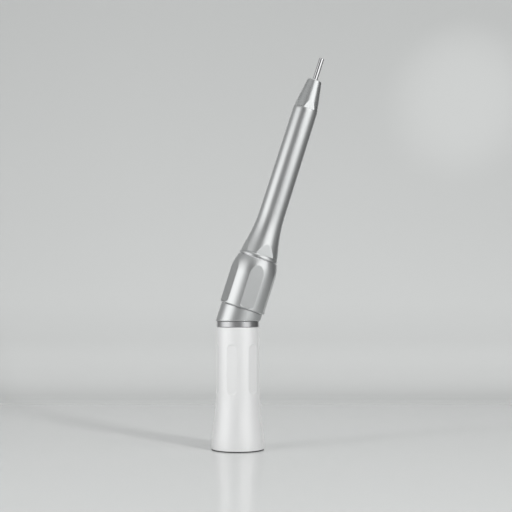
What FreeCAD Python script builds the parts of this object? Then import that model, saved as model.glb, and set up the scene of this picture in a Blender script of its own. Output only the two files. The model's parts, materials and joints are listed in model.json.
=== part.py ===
"""Surgical straight handpiece with an angled body, a twist collar chuck and a plain tool shank.

The instrument stands on its rear rim. The origin is the centre of the rear face on the axis of the
grip, +Z runs up the grip, and the front half leans towards +X by the bend angle about the bend point.
Rear pieces are drawn in place. Front pieces are drawn along +Z from the bend point, as if the
instrument were straight, and are leaned over when they are saved. Millimetres and degrees.
"""
import FreeCAD, Part
import math
import os

V = FreeCAD.Vector

# Fits
running_gap = 0.05        # radial, between a turning or sliding piece and its guide
seat_gap = 0.02           # radial, between two pieces that are fixed together
end_gap = 0.05            # along the axis, between a turning face and the face beside it

# Bend of the body
bend_angle = 17.7

# White grip sleeve
sleeve_length = 55.8
sleeve_wall = 0.93        # of the straight grip, around the coupling body
bell_flare = 2.05         # how far the rear end stands out past the grip
bell_length = 27.5        # how far the bell flare reaches up the sleeve
sleeve_round = 0.4        # rounding of the sleeve's front edge
base_round = 0.15         # rounding of its rear edge
rim_recess_ledge = 1.6    # from the coupling body to the wall of the rear recess
rim_recess_depth = 2.0
rim_wall = 0.7            # between the rear recess and the flat seal let into the rear rim
rim_seal_height = 0.4
rim_seal_inset = 0.05     # how far the seal stays inside the sleeve's outer edge
grip_flat_count = 6
grip_flat_width = 4.95
grip_flat_low = 25.5
grip_flat_high = 48.2
grip_flat_turn = -15.0    # first flat, from the front of the instrument towards +X

# Steel coupling body inside the grip, with the motor socket
socket_radius = 8.1
body_wall = 0.9           # around the motor socket
socket_end = 28.0
fork_recess_radius = 5.0
fork_recess_end = 34.0
web_thickness = 1.0
web_hole_radius = 2.7
neck_step = 0.8           # from the body down to its neck inside the trim ring
neck_wall = 0.98          # around the elbow's spigot
spigot_length = 6.2
catch_height = 6.2        # middle of the groove for the motor catch ring
catch_wire = 0.5          # wire thickness of the catch ring
catch_opening = 40.0      # angle missing from the split catch ring
grip_seal_height = 46.0
seal_section = 0.38       # section radius of the round seals
seal_room = 0.04          # room around a seal in its groove

# Polished trim ring and elbow
trim_length = 2.7
trim_step = 0.2           # how far the ring lies below the grip
trim_chamfer = 0.25
elbow_step = 0.17         # how far the elbow lies below the grip
elbow_length = 6.15       # from the bend point to the seam under the collar
elbow_round = 0.5
chamber_wall = 1.0        # of the elbow's spigot, around the gear chamber
body_tube_depth = 2.55    # how deep the body tube sits in the elbow

# Twist collar
seam = 0.2
collar_length = 23.75
collar_radius = 10.6
collar_round = 0.6
shoulder_length = 7.9
shoulder_radius = 9.1     # radius at the front end of the shoulder
collar_bore = 8.15
collar_flat_count = 5
collar_flat_distance = 10.0
collar_flat_start = 0.6   # lip left below each flat
collar_flat_corner = 1.3
collar_flat_end_corner = 0.2
collar_flat_turn = 12.3
collar_turn = 35.0        # from locked to open
collar_groove = 0.4       # open groove in front of the collar
rear_seal_place = 1.7     # from the rear edge of the collar to the seal under it

# Body tube under the collar
tube_bore = 6.9
tube_neck_radius = 6.4
tube_neck_bore = 5.4
tube_neck_length = 5.6
shoulder_wall = 3.4       # body tube wall behind the neck, along the axis

# Bead ring, flared front sleeve and nose
bead_length = 1.6
bead_radius = 8.95
bead_drop = 0.45
flare_length = 19.4
flare_radius = 8.75
flare_bend = (6.4, 7.35)  # pole of the flare's curve near its base: distance and radius
flare_blend = (11.4, 6.1)  # pole near the slim tube
slim_rear_radius = 5.97
slim_front_radius = 5.7
slim_length = 51.3
slim_bore = 4.8           # relieved bore between the two front bearings
bearing_land = 1.5        # guiding length left beside each bearing
bearing_stop = 0.5        # height of the step that stops the middle bearing
facet_count = 4
flare_facet_distance = 7.4
flare_facet_turn = 19.5
nose_length = 14.0
nose_rear_radius = 5.65
nose_tip_radius = 3.3
nose_round = 0.35
nose_bore = 2.7
nose_spigot_length = 3.0
nose_facet_distance = 5.02
nose_facet_turn = 16.0
lip_seal_bore = 2.6
lip_seal_radius = 3.3
lip_seal_width = 1.2

# Ball bearings: bore radius, outer radius, width and ball radius
shaft_bearing = (2.0, 4.0, 3.0, 0.60)
shaft_ball_count = 8
nose_bearing = (2.5, 4.0, 2.5, 0.42)
nose_ball_count = 9
race_play = 0.03
race_hold = 0.62          # how far each ring stays from the ball's centre, in ball radii

# Bevel gears at the bend
tooth_count = 16
cone_outer = 5.3
cone_inner = 3.4
tooth_tip = 0.45
tooth_root = 0.60
flank_angle = 20.0
gear_backlash = 0.16
tooth_cutter_over = 0.5   # how far the cutter of a tooth space stands out of the teeth
gear_hub_radius = 3.1
gear_reach = 7.1          # from the bend point to the end of each gear's hub
shaft_start = 1.3         # from the bend point to the end of each shaft

# Drive shaft
dog_radius = 3.6
dog_slot = 1.6
dog_slot_depth = 2.8
dog_clearance = 0.4       # above the socket's step and below the web

# Spindle, drawbar and collet
spindle_radius = 2.5
spindle_bore = 1.9
spindle_short = 1.4       # spindle front end behind the nose tip
spring_seat_radius = 4.0
spring_seat_width = 1.4
middle_bearing_place = 46.4
bearing_to_nose = 0.4     # between the front bearing and the nose spigot
spacer_wall = 0.5
drawbar_radius = 1.8
drawbar_spigot = 2.8
drawbar_tail = 1.0        # how far the spindle's bore reaches behind the thrust ring
mouth_taper = 1.0         # step from the cone mouth to the spindle's bore
shank_end_gap = 0.3       # between the tool shank and the drawbar
collet_head_radius = 2.05
collet_cone = 6.6
collet_chamfer = 0.2
collet_slot_count = 3
collet_slot_width = 0.3
collet_slot_length = 20.0
collet_short = 1.7        # collet front end behind the nose tip
pin_radius = 0.5          # cross pin through drawbar and thrust ring

# Release sleeve and its cam
release_travel = 1.0
release_idle = 0.2        # free travel before the thrust ring is touched
collet_travel = 0.85
carrier_length = 6.0
carrier_gap = 0.3         # between the carrier and the end of the gear's hub
carrier_front_hole = 2.8
release_radius = 6.85
release_bore = 5.2
release_length = 10.5
release_web = 1.5
release_web_hole = 2.9
release_start = 1.2       # behind the sleeve, from the bearing carrier
cam_pin_radius = 0.9
cam_pin_reach = 8.9
cam_pin_place = 5.5       # from the rear end of the release sleeve
cam_pin_count = 2
cam_groove_floor = 9.0
cam_step_count = 3
cam_play = 0.08
thrust_width = 2.0
thrust_radius = 4.4
disc_count = 8
disc_thickness = 0.35
disc_pitch = 0.91         # length that each cone washer takes in the stack
disc_outer = 4.2

# Detent of the collar
detent_ball = 0.8
detent_rise = 0.4         # how far the ball stands out of the body tube
detent_turn = 200.0
detent_place = 4.0        # from the rear edge of the collar
detent_depth = 1.7        # depth of the cartridge in the bearing carrier

# Tool shank
shank_radius = 1.175
shank_length = 44.5
shank_reach = 10.8        # in front of the nose
shank_chamfer = 0.15

# Radii of the grip, from the motor socket outwards and along to the elbow
body_radius = socket_radius + body_wall
grip_radius = body_radius + seat_gap + sleeve_wall
base_radius = grip_radius + bell_flare
rim_recess_radius = body_radius + rim_recess_ledge
rim_seal_bore = rim_recess_radius + rim_wall
trim_radius = grip_radius - trim_step
elbow_radius = grip_radius - elbow_step
neck_radius = body_radius - neck_step
spigot_radius = neck_radius - neck_wall - seat_gap
chamber_radius = spigot_radius - chamber_wall

# Stations along the grip
bend_height = sleeve_length + trim_length
neck_top = bend_height - end_gap
spigot_low = bend_height - spigot_length
drive_front_bearing = bend_height - gear_reach - end_gap - shaft_bearing[2]
drive_rear_bearing = fork_recess_end + web_thickness + end_gap

# Stations along the front axis, from the bend point
tube_rear = elbow_length - body_tube_depth
collar_rear = elbow_length + seam
collar_front = collar_rear + collar_length
tube_front = collar_front + collar_groove
flare_rear = tube_front + bead_length
flare_front = flare_rear + flare_length
nose_rear = flare_front + slim_length
nose_tip = nose_rear + nose_length
shank_tip = nose_tip + shank_reach
shank_rear = shank_tip - shank_length
body_tube_radius = collar_bore - running_gap
bearing_seat = shaft_bearing[1] + seat_gap
carrier_rear = gear_reach - carrier_gap
carrier_front = carrier_rear + carrier_length
spindle_bearing_rear = gear_reach + end_gap
spindle_front_bearing = nose_rear - nose_spigot_length - bearing_to_nose - nose_bearing[2]
release_rear = carrier_front + release_start
pin_station = release_rear + cam_pin_place
thrust_rear = release_rear + release_web + release_idle
thrust_front = thrust_rear + thrust_width
spring_stack = disc_count * disc_pitch
spring_seat = thrust_front + spring_stack + 2 * end_gap
collet_rear = shank_rear - drawbar_spigot - shank_end_gap
collet_front = nose_tip - collet_short
spindle_front = nose_tip - spindle_short
detent_station = collar_rear + detent_place
cam_rate = release_travel / collar_turn
arc_middle = 1 - math.sqrt(0.5)   # inset of a round corner's middle, in radii


def around(count, turn=0.0):
    """Angles of equal copies from +X, the first one at a turn from the instrument's front."""
    return [turn - 90.0 + 360.0 * k / count for k in range(count)]


def outline(start, *steps):
    """Closed wire of (radius, height) pairs: a pair is a line, two an arc, three a smooth curve."""
    edges = []
    here = V(start[0], 0, start[1])
    first = here
    for step in steps:
        pairs = step if isinstance(step[0], tuple) else (step,)
        points = [V(radius, 0, height) for radius, height in pairs]
        if len(points) == 1:
            edge = Part.LineSegment(here, points[0])
        elif len(points) == 2:
            edge = Part.Arc(here, points[0], points[1])
        else:
            edge = Part.BezierCurve()
            edge.setPoles([here] + points)
        edges.append(edge.toShape())
        here = points[-1]
    edges.append(Part.LineSegment(here, first).toShape())
    return Part.Wire(edges)


def turned(start, *steps):
    """Solid of revolution about Z."""
    solid = Part.Face(outline(start, *steps)).revolve(V(0, 0, 0), V(0, 0, 1), 360)
    if solid.Volume < 0:
        solid.reverse()
    return solid


def tube(outer, inner, low, high):
    """Plain round tube about Z."""
    return turned((inner, low), (outer, low), (outer, high), (inner, high))


def rod(radius, low, high):
    """Plain round bar about Z."""
    return Part.makeCylinder(radius, high - low, V(0, 0, low))


def turn(shape, angle):
    """Copy of a shape, turned about Z."""
    copy = shape.copy()
    copy.rotate(V(0, 0, 0), V(0, 0, 1), angle)
    return copy


def radial_rod(radius, near, far, angle, height):
    """Round bar that points straight out from the axis."""
    bar = Part.makeCylinder(radius, far - near, V(near, 0, height), V(1, 0, 0))
    return turn(bar, angle)


def seal(centre_radius, height):
    """Round seal ring."""
    return Part.makeTorus(centre_radius, seal_section, V(0, 0, height))


def seal_groove(shaft_radius, height):
    """Cutter for the groove of a round seal in a shaft."""
    half = seal_section + seal_room
    floor = shaft_radius - 2 * half
    return tube(shaft_radius + 1, floor, height - half, height + half)


def flat_cutter(distance, width, low, high, low_corner, high_corner):
    """Block with rounded ends that leaves a flat at a distance from the axis, facing +X."""
    half = width / 2
    deep = V(distance, 0, 0)
    corners = [(half, low, low_corner), (half, high, high_corner),
               (-half, high, high_corner), (-half, low, low_corner)]
    pieces = []
    ends = []
    for place, height, round_size in corners:
        side = math.copysign(1, place)
        rise = 1 if height == high else -1
        along = deep + V(0, place, height - rise * round_size)
        across = deep + V(0, place - side * round_size, height)
        inset = round_size * arc_middle
        middle = deep + V(0, place - side * inset, height - rise * inset)
        points = [across, middle, along] if side * rise < 0 else [along, middle, across]
        ends.append(points)
    for k, points in enumerate(ends):
        pieces.append(Part.Arc(*points).toShape())
        after = ends[(k + 1) % len(ends)][0]
        if points[-1].distanceToPoint(after) > 1e-6:
            pieces.append(Part.LineSegment(points[-1], after).toShape())
    return Part.Face(Part.Wire(pieces)).extrude(V(distance, 0, 0))


def grip_sleeve():
    """Moulded grip sleeve: straight grip, bell-flared rear end, six shallow finger flats."""
    bore = body_radius + seat_gap
    bell_pull = bell_length / 3
    inset = arc_middle * base_round
    shape = turned(
        (bore, rim_recess_depth), (rim_recess_radius, rim_recess_depth), (rim_recess_radius, 0),
        (rim_seal_bore - seat_gap, 0), (rim_seal_bore - seat_gap, rim_seal_height),
        (base_radius - base_round, rim_seal_height),
        ((base_radius - inset, rim_seal_height + inset), (base_radius, rim_seal_height + base_round)),
        ((base_radius, bell_pull), (grip_radius, bell_length - 1.4 * bell_pull),
         (grip_radius, bell_length)),
        (grip_radius, sleeve_length - sleeve_round), (grip_radius - sleeve_round, sleeve_length),
        (bore, sleeve_length))
    half = grip_flat_width / 2
    cutter = flat_cutter(math.sqrt(grip_radius ** 2 - half ** 2), grip_flat_width,
                         grip_flat_low, grip_flat_high, half, half)
    for angle in around(grip_flat_count, grip_flat_turn):
        shape = shape.cut(turn(cutter, angle))
    return shape


def rim_seal():
    """Flat seal ring let into the rear rim of the sleeve."""
    return tube(base_radius - rim_seal_inset, rim_seal_bore, 0, rim_seal_height)


def coupling_body():
    """Steel body: stepped motor socket, web, bearing bore, counterbore for the elbow."""
    web_top = fork_recess_end + web_thickness
    shape = turned(
        (socket_radius, rim_recess_depth), (body_radius, rim_recess_depth),
        (body_radius, sleeve_length), (neck_radius, sleeve_length), (neck_radius, neck_top),
        (spigot_radius + seat_gap, neck_top), (spigot_radius + seat_gap, spigot_low),
        (bearing_seat, spigot_low), (bearing_seat, web_top), (web_hole_radius, web_top),
        (web_hole_radius, fork_recess_end), (fork_recess_radius, fork_recess_end),
        (fork_recess_radius, socket_end), (socket_radius, socket_end))
    half = catch_wire / 2 + seat_gap
    catch_groove = tube(socket_radius + 2 * half, socket_radius - 1,
                        catch_height - half, catch_height + half)
    return shape.cut(catch_groove).cut(seal_groove(body_radius, grip_seal_height))


def catch_ring():
    """Split spring ring in the socket, which snaps on the motor's nose."""
    low = catch_height - catch_wire / 2
    ring = tube(socket_radius + catch_wire + seat_gap, socket_radius + 2 * seat_gap,
                low, low + catch_wire)
    gap = Part.makeBox(2 * body_radius, body_radius * math.radians(catch_opening), 2 * catch_wire,
                       V(0, -body_radius * math.radians(catch_opening) / 2, low - catch_wire / 2))
    return ring.cut(gap)


def trim_ring():
    """Polished ring between the sleeve and the elbow, lightly chamfered."""
    return turned(
        (neck_radius + seat_gap, sleeve_length), (trim_radius - trim_chamfer, sleeve_length),
        (trim_radius, sleeve_length + trim_chamfer), (trim_radius, bend_height - trim_chamfer),
        (trim_radius - trim_chamfer, bend_height), (neck_radius + seat_gap, bend_height))


def elbow():
    """Leaning outer barrel cut square to the grip, with a plain spigot down into the body."""
    barrel = rod(elbow_radius, -elbow_radius, elbow_length)
    barrel = leaned(barrel)
    below = Part.makeBox(4 * elbow_radius, 4 * elbow_radius, 2 * elbow_radius,
                         V(-2 * elbow_radius, -2 * elbow_radius, bend_height - 2 * elbow_radius))
    barrel = barrel.cut(below)
    foot = [edge for edge in barrel.Edges
            if abs(edge.BoundBox.ZMax - bend_height) < 0.01 and edge.BoundBox.ZLength < 0.01]
    barrel = barrel.makeFillet(elbow_round, foot)
    spigot = rod(spigot_radius, spigot_low + end_gap, bend_height)
    shape = barrel.fuse(spigot)
    counterbore = leaned(rod(body_tube_radius + seat_gap, tube_rear, elbow_length + 1))
    chamber = rod(chamber_radius, spigot_low - 1, bend_height)
    chamber = chamber.fuse(Part.makeSphere(chamber_radius, V(0, 0, bend_height)))
    chamber = chamber.fuse(leaned(rod(chamber_radius, 0, elbow_length)))
    return shape.cut(chamber).cut(counterbore).removeSplitter()


def body_tube():
    """Tube that carries the collar: slots for the cam pins, seal grooves, threaded neck."""
    neck_end = tube_front + tube_neck_length
    shape = turned(
        (tube_bore, tube_rear + end_gap), (body_tube_radius, tube_rear + end_gap),
        (body_tube_radius, tube_front), (tube_neck_radius, tube_front),
        (tube_neck_radius, neck_end), (tube_neck_bore, neck_end),
        (tube_neck_bore, tube_front - shoulder_wall), (tube_bore, tube_front - shoulder_wall))
    slot_half = cam_pin_radius + running_gap
    for angle in around(cam_pin_count, 90):
        for height in (pin_station, pin_station + release_travel):
            shape = shape.cut(radial_rod(slot_half, release_bore, collar_bore, angle, height))
        slot = Part.makeBox(collar_bore - release_bore, 2 * slot_half, release_travel,
                            V(release_bore, -slot_half, pin_station))
        shape = shape.cut(turn(slot, angle))
    for height in collar_seal_places():
        shape = shape.cut(seal_groove(body_tube_radius, height))
    hole = radial_rod(detent_ball + running_gap, tube_bore - 1, collar_bore, detent_turn, detent_station)
    return shape.cut(hole)


def collar_seal_places():
    """Heights of the two seals under the collar."""
    return (collar_rear + rear_seal_place, tube_front - shoulder_wall / 2)


def lock_collar():
    """Twist collar: round rear edge, five long flats that run out on the domed shoulder."""
    shoulder_start = collar_front - shoulder_length
    drop = collar_radius - shoulder_radius
    bend_radius = (shoulder_length ** 2 + drop ** 2) / (2 * drop)
    middle = shoulder_length / 2
    sag = bend_radius - math.sqrt(bend_radius ** 2 - middle ** 2)
    inset = arc_middle * collar_round
    shape = turned(
        (collar_bore, collar_rear), (collar_radius - collar_round, collar_rear),
        ((collar_radius - inset, collar_rear + inset), (collar_radius, collar_rear + collar_round)),
        (collar_radius, shoulder_start),
        ((collar_radius - sag, shoulder_start + middle), (shoulder_radius, collar_front)),
        (collar_bore, collar_front))
    width = 2 * math.sqrt(collar_radius ** 2 - collar_flat_distance ** 2)
    cutter = flat_cutter(collar_flat_distance, width, collar_rear + collar_flat_start,
                         collar_front + collar_flat_corner, collar_flat_corner, collar_flat_end_corner)
    for angle in around(collar_flat_count, collar_flat_turn):
        shape = shape.cut(turn(cutter, angle))
    for angle in around(cam_pin_count, 90):
        shape = shape.cut(cam_groove(angle))
    ball_radius = body_tube_radius + detent_rise - detent_ball
    track = detent_ball + 2 * running_gap
    shape = shape.cut(tube(body_tube_radius + detent_rise + 2 * running_gap, collar_bore - 1,
                           detent_station - track, detent_station + track))
    for angle in (detent_turn, detent_turn - collar_turn):
        pocket = Part.makeSphere(track, V(ball_radius, 0, detent_station))
        shape = shape.cut(turn(pocket, angle))
    return shape


def cam_groove(angle):
    """Cutter for one sloping cam groove inside the collar, from the locked to the open end."""
    half = cam_pin_radius + cam_play
    near = release_radius
    depth = cam_groove_floor - near
    step = collar_turn / cam_step_count
    path_radius = (collar_bore + cam_groove_floor) / 2
    cutter = None
    for k in range(cam_step_count + 1):
        height = pin_station + cam_rate * step * k
        end = radial_rod(half, near, cam_groove_floor, angle - step * k, height)
        cutter = end if cutter is None else cutter.fuse(end)
    for k in range(cam_step_count):
        middle = angle - step * (k + 0.5)
        height = pin_station + cam_rate * step * (k + 0.5)
        run = 2 * path_radius * math.tan(math.radians(step / 2))
        slope = math.degrees(math.atan2(cam_rate * step, run))
        length = math.hypot(run, cam_rate * step)
        block = Part.makeBox(depth, length, 2 * half, V(near, -length / 2, -half))
        block.rotate(V(0, 0, 0), V(1, 0, 0), -slope)
        block.translate(V(0, 0, height))
        cutter = cutter.fuse(turn(block, middle))
    return cutter


def bearing_carrier():
    """Screwed-in carrier of the rear spindle bearing."""
    seat_end = spindle_bearing_rear + shaft_bearing[2] + end_gap
    shape = turned(
        (bearing_seat, carrier_rear), (tube_bore - seat_gap, carrier_rear),
        (tube_bore - seat_gap, carrier_front), (carrier_front_hole, carrier_front),
        (carrier_front_hole, seat_end), (bearing_seat, seat_end))
    pocket = radial_rod(detent_ball + running_gap, tube_bore - detent_depth, tube_bore + 1,
                        detent_turn, detent_station)
    return shape.cut(pocket)


def detent_parts():
    """Ball and the cartridge that presses it outwards."""
    ball_radius = body_tube_radius + detent_rise - detent_ball
    ball = turn(Part.makeSphere(detent_ball, V(ball_radius, 0, detent_station)), detent_turn)
    face = ball_radius - detent_ball - seat_gap
    cartridge = radial_rod(detent_ball, tube_bore - detent_depth + seat_gap, face,
                           detent_turn, detent_station)
    return ball, cartridge


def bead_ring():
    """Rounded steel ring between the collar and the front sleeve."""
    bore = tube_neck_radius + seat_gap
    middle = tube_front + bead_length / 2
    return turned(
        (bore, tube_front), (bead_radius - bead_drop, tube_front),
        ((bead_radius, middle), (bead_radius - bead_drop, flare_rear)), (bore, flare_rear))


def front_sleeve():
    """Slim front sleeve with its concave flare, four spanner facets and a through bore."""
    neck_end = tube_front + tube_neck_length
    bore_start = middle_bearing_place - end_gap
    relief_low = middle_bearing_place + nose_bearing[2] + bearing_land
    relief_high = spindle_front_bearing - bearing_land
    relief_step = slim_bore - bearing_seat
    shape = turned(
        (tube_neck_radius + seat_gap, flare_rear), (flare_radius, flare_rear),
        ((flare_bend[1], flare_rear + flare_bend[0]), (flare_blend[1], flare_rear + flare_blend[0]),
         (slim_rear_radius, flare_front)),
        (slim_front_radius, nose_rear), (bearing_seat, nose_rear),
        (bearing_seat, relief_high), (slim_bore, relief_high - relief_step),
        (slim_bore, relief_low + relief_step), (bearing_seat, relief_low),
        (bearing_seat, bore_start), (bearing_seat - bearing_stop, bore_start),
        (bearing_seat - bearing_stop, bore_start - bearing_stop),
        (tube_neck_bore, neck_end + end_gap), (tube_neck_radius + seat_gap, neck_end + end_gap))
    return faceted(shape, flare_facet_distance, flare_facet_turn, flare_rear, flare_radius, flare_front)


def faceted(shape, distance, first, low, radius, high):
    """Cuts the spanner facets, planes along the axis that run out on the taper."""
    block = Part.makeBox(radius, 2 * radius, high - low, V(distance, -radius, low))
    for angle in around(facet_count, first):
        shape = shape.cut(turn(block, angle))
    return shape


def nose_cone():
    """Screwed-in nose: plain spigot, straight cone, four spanner facets, rounded tip."""
    spigot_rear = nose_rear - nose_spigot_length
    seal_end = spigot_rear + lip_seal_width + end_gap
    slope = (nose_rear_radius - nose_tip_radius) / nose_length
    inset = arc_middle * nose_round
    shape = turned(
        (lip_seal_radius + seat_gap, spigot_rear), (bearing_seat - 2 * seat_gap, spigot_rear),
        (bearing_seat - 2 * seat_gap, nose_rear), (nose_rear_radius, nose_rear),
        (nose_tip_radius + slope * nose_round, nose_tip - nose_round),
        ((nose_tip_radius - inset, nose_tip - inset), (nose_tip_radius - nose_round, nose_tip)),
        (nose_bore, nose_tip), (nose_bore, seal_end), (lip_seal_radius + seat_gap, seal_end))
    return faceted(shape, nose_facet_distance, nose_facet_turn, nose_rear, nose_rear_radius, nose_tip)


def lip_seal():
    """Seal ring behind the nose."""
    rear = nose_rear - nose_spigot_length + seat_gap
    return tube(lip_seal_radius, lip_seal_bore, rear, rear + lip_seal_width)


def bearing(size, count, low):
    """Deep-groove ball bearing: outer ring, inner ring and balls, from its rear face."""
    bore, outer, width, ball = size
    pitch = (bore + outer) / 2
    wall = (outer - bore) / 2 - race_hold * ball
    race = Part.makeTorus(pitch, ball + race_play, V(0, 0, low + width / 2))
    outer_ring = tube(outer, outer - wall, low, low + width).cut(race)
    inner_ring = tube(bore + wall, bore + seat_gap, low, low + width).cut(race)
    one = Part.makeSphere(ball, V(pitch, 0, low + width / 2))
    balls = [turn(one, 360.0 * k / count) for k in range(count)]
    return outer_ring, inner_ring, balls


def cone_point(reach, cone, sweep):
    """Point at a distance from the apex, on a cone about +Z, at a sweep angle from +X."""
    cone = math.radians(cone)
    sweep = math.radians(sweep)
    return V(reach * math.sin(cone) * math.cos(sweep), reach * math.sin(cone) * math.sin(sweep),
             reach * math.cos(cone))


def bevel_gear(bore, phase):
    """Straight bevel gear with its apex at the origin and its shaft along +Z.

    Both gears have the same pitch cone, because they turn one to one, and every tooth space
    narrows towards the apex.
    """
    pitch_cone = 90 - bend_angle / 2
    tip_cone = pitch_cone + math.degrees(math.atan(tooth_tip / cone_outer))
    root_cone = pitch_cone - math.degrees(math.atan(tooth_root / cone_outer))

    def pair(reach, cone):
        point = cone_point(reach, cone, 0)
        return (point.x, point.z)

    inner_root = pair(cone_inner, root_cone)
    outer_root = pair(cone_outer, root_cone)
    rim = cone_outer / 4
    shape = turned(
        (bore, inner_root[1]), inner_root, pair(cone_inner, tip_cone), pair(cone_outer, tip_cone),
        outer_root, (outer_root[0] - rim / 2, outer_root[1] + rim),
        (gear_hub_radius, outer_root[1] + 1.5 * rim), (gear_hub_radius, gear_reach),
        (bore, gear_reach))
    pitch_radius = cone_outer * math.sin(math.radians(pitch_cone))
    per_length = math.degrees(1 / pitch_radius)
    middle_half = 90.0 / tooth_count + gear_backlash / 2 * per_length
    lean = math.tan(math.radians(flank_angle)) * per_length
    root_half = middle_half - tooth_root * lean
    over = tooth_tip + tooth_cutter_over
    top_half = middle_half + over * lean
    top_cone = pitch_cone + math.degrees(math.atan(over / cone_outer))
    spaces = []
    for reach in (cone_inner - 1, cone_outer + 1):
        corners = [cone_point(reach, root_cone, -root_half), cone_point(reach, root_cone, root_half),
                   cone_point(reach, top_cone, top_half), cone_point(reach, top_cone, -top_half)]
        spaces.append(Part.makePolygon(corners + corners[:1]))
    space = Part.makeLoft(spaces, True, True)
    for k in range(tooth_count):
        shape = shape.cut(turn(space, phase + 360.0 * k / tooth_count))
    return shape


def drive_shaft():
    """Plain drive shaft in the grip."""
    return rod(shaft_bearing[0], socket_end + dog_clearance + dog_slot_depth + end_gap,
               bend_height - shaft_start)


def drive_dog():
    """Slotted driver that the motor's tongue turns."""
    low = socket_end + dog_clearance
    high = fork_recess_end - dog_clearance
    shape = rod(dog_radius, low, high)
    shape = shape.cut(rod(shaft_bearing[0] + seat_gap, low + dog_slot_depth, high + 1))
    slot = Part.makeBox(3 * dog_radius, dog_slot, dog_slot_depth,
                        V(-1.5 * dog_radius, -dog_slot / 2, low))
    return shape.cut(slot)


def spindle():
    """Hollow spindle: rear journal for gear and bearing, spring seat, cross slot, cone mouth."""
    step = spindle_bearing_rear + shaft_bearing[2]
    seat_end = spring_seat + spring_seat_width
    bore_start = thrust_rear - drawbar_tail
    mouth = collet_front - collet_cone
    mouth_radius = collet_head_radius + running_gap + (spindle_front - collet_front) * collet_slope()
    shape = turned(
        (0, shaft_start), (shaft_bearing[0], shaft_start), (shaft_bearing[0], step),
        (spindle_radius, step), (spindle_radius, spring_seat), (spring_seat_radius, spring_seat),
        (spring_seat_radius, seat_end), (spindle_radius, seat_end), (spindle_radius, spindle_front),
        (mouth_radius, spindle_front), (drawbar_radius + running_gap, mouth),
        (spindle_bore, mouth - mouth_taper), (spindle_bore, bore_start), (0, bore_start))
    half = pin_radius + running_gap
    pin_height = thrust_rear + thrust_width / 2
    slot = Part.makeBox(4 * spindle_radius, 2 * half, collet_travel + 2 * half,
                        V(-2 * spindle_radius, -half, pin_height - half))
    return shape.cut(slot)


def collet_slope():
    """Rise of the collet's cone for each millimetre along the axis."""
    return (collet_head_radius - drawbar_radius) / collet_cone


def disc_springs():
    """Stack of cone washers that holds the collet shut."""
    bore = spindle_radius + running_gap
    rise = disc_pitch - disc_thickness
    washers = []
    for k in range(disc_count):
        low = thrust_front + end_gap + disc_pitch * k
        inner, outer = (low, low + rise) if k % 2 else (low + rise, low)
        washers.append(turned((bore, inner), (disc_outer, outer), (disc_outer, outer + disc_thickness),
                              (bore, inner + disc_thickness)))
    return washers


def thrust_ring():
    """Ring around the spindle that the release sleeve pushes."""
    shape = tube(thrust_radius, spindle_radius + running_gap, thrust_rear, thrust_front)
    return shape.cut(cross_bar(pin_radius + seat_gap, thrust_radius + 1))


def cross_bar(radius, reach):
    """Round bar square through the axis, in the middle of the thrust ring."""
    return Part.makeCylinder(radius, 2 * reach, V(-reach, 0, thrust_rear + thrust_width / 2), V(1, 0, 0))


def drawbar():
    """Bar from the thrust ring to the tail of the collet."""
    low = thrust_rear - drawbar_tail + 2 * end_gap
    shape = turned(
        (0, low), (drawbar_radius, low), (drawbar_radius, collet_rear),
        (shank_radius - seat_gap, collet_rear), (shank_radius - seat_gap, collet_rear + drawbar_spigot),
        (0, collet_rear + drawbar_spigot))
    return shape.cut(cross_bar(pin_radius + seat_gap, spindle_radius))


def collet():
    """Spring collet: long tail, slotted jaws, cone head."""
    bore = shank_radius + seat_gap
    rear = collet_rear + seat_gap
    shape = turned(
        (bore, rear), (drawbar_radius, rear), (drawbar_radius, collet_front - collet_cone),
        (collet_head_radius, collet_front), (bore + collet_chamfer, collet_front),
        (bore, collet_front - collet_chamfer))
    slot = Part.makeBox(2 * collet_head_radius, collet_slot_width, collet_slot_length + 1,
                        V(0, -collet_slot_width / 2, collet_front - collet_slot_length))
    for k in range(collet_slot_count):
        shape = shape.cut(turn(slot, 360.0 * k / collet_slot_count))
    return shape


def release_sleeve():
    """Sliding sleeve with an inner web, driven along the axis by the cam pins."""
    front = release_rear + release_length
    shape = turned(
        (release_web_hole, release_rear), (release_radius, release_rear), (release_radius, front),
        (release_bore, front), (release_bore, release_rear + release_web),
        (release_web_hole, release_rear + release_web))
    for angle in around(cam_pin_count, 90):
        hole = radial_rod(cam_pin_radius + seat_gap, release_bore - 1, release_radius + 1,
                          angle, pin_station)
        shape = shape.cut(hole)
    return shape


def tool_shank():
    """Plain round shank of the tool."""
    return turned(
        (0, shank_rear), (shank_radius - shank_chamfer, shank_rear),
        (shank_radius, shank_rear + shank_chamfer), (shank_radius, shank_tip - shank_chamfer),
        (shank_radius - shank_chamfer, shank_tip), (0, shank_tip))


def leaned(shape):
    """Copy of a straight front piece, turned about the bend point and lifted to it."""
    copy = shape.copy()
    copy.rotate(V(0, 0, 0), V(0, 1, 0), bend_angle)
    copy.translate(V(0, 0, bend_height))
    return copy


def save(name, *solids):
    """Writes one node."""
    shape = solids[0] if len(solids) == 1 else Part.makeCompound(list(solids))
    shape.exportStep("parts/" + name + ".step")


def save_leaned(name, *solids):
    """Writes one node of the front half."""
    save(name, *[leaned(solid) for solid in solids])


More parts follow.
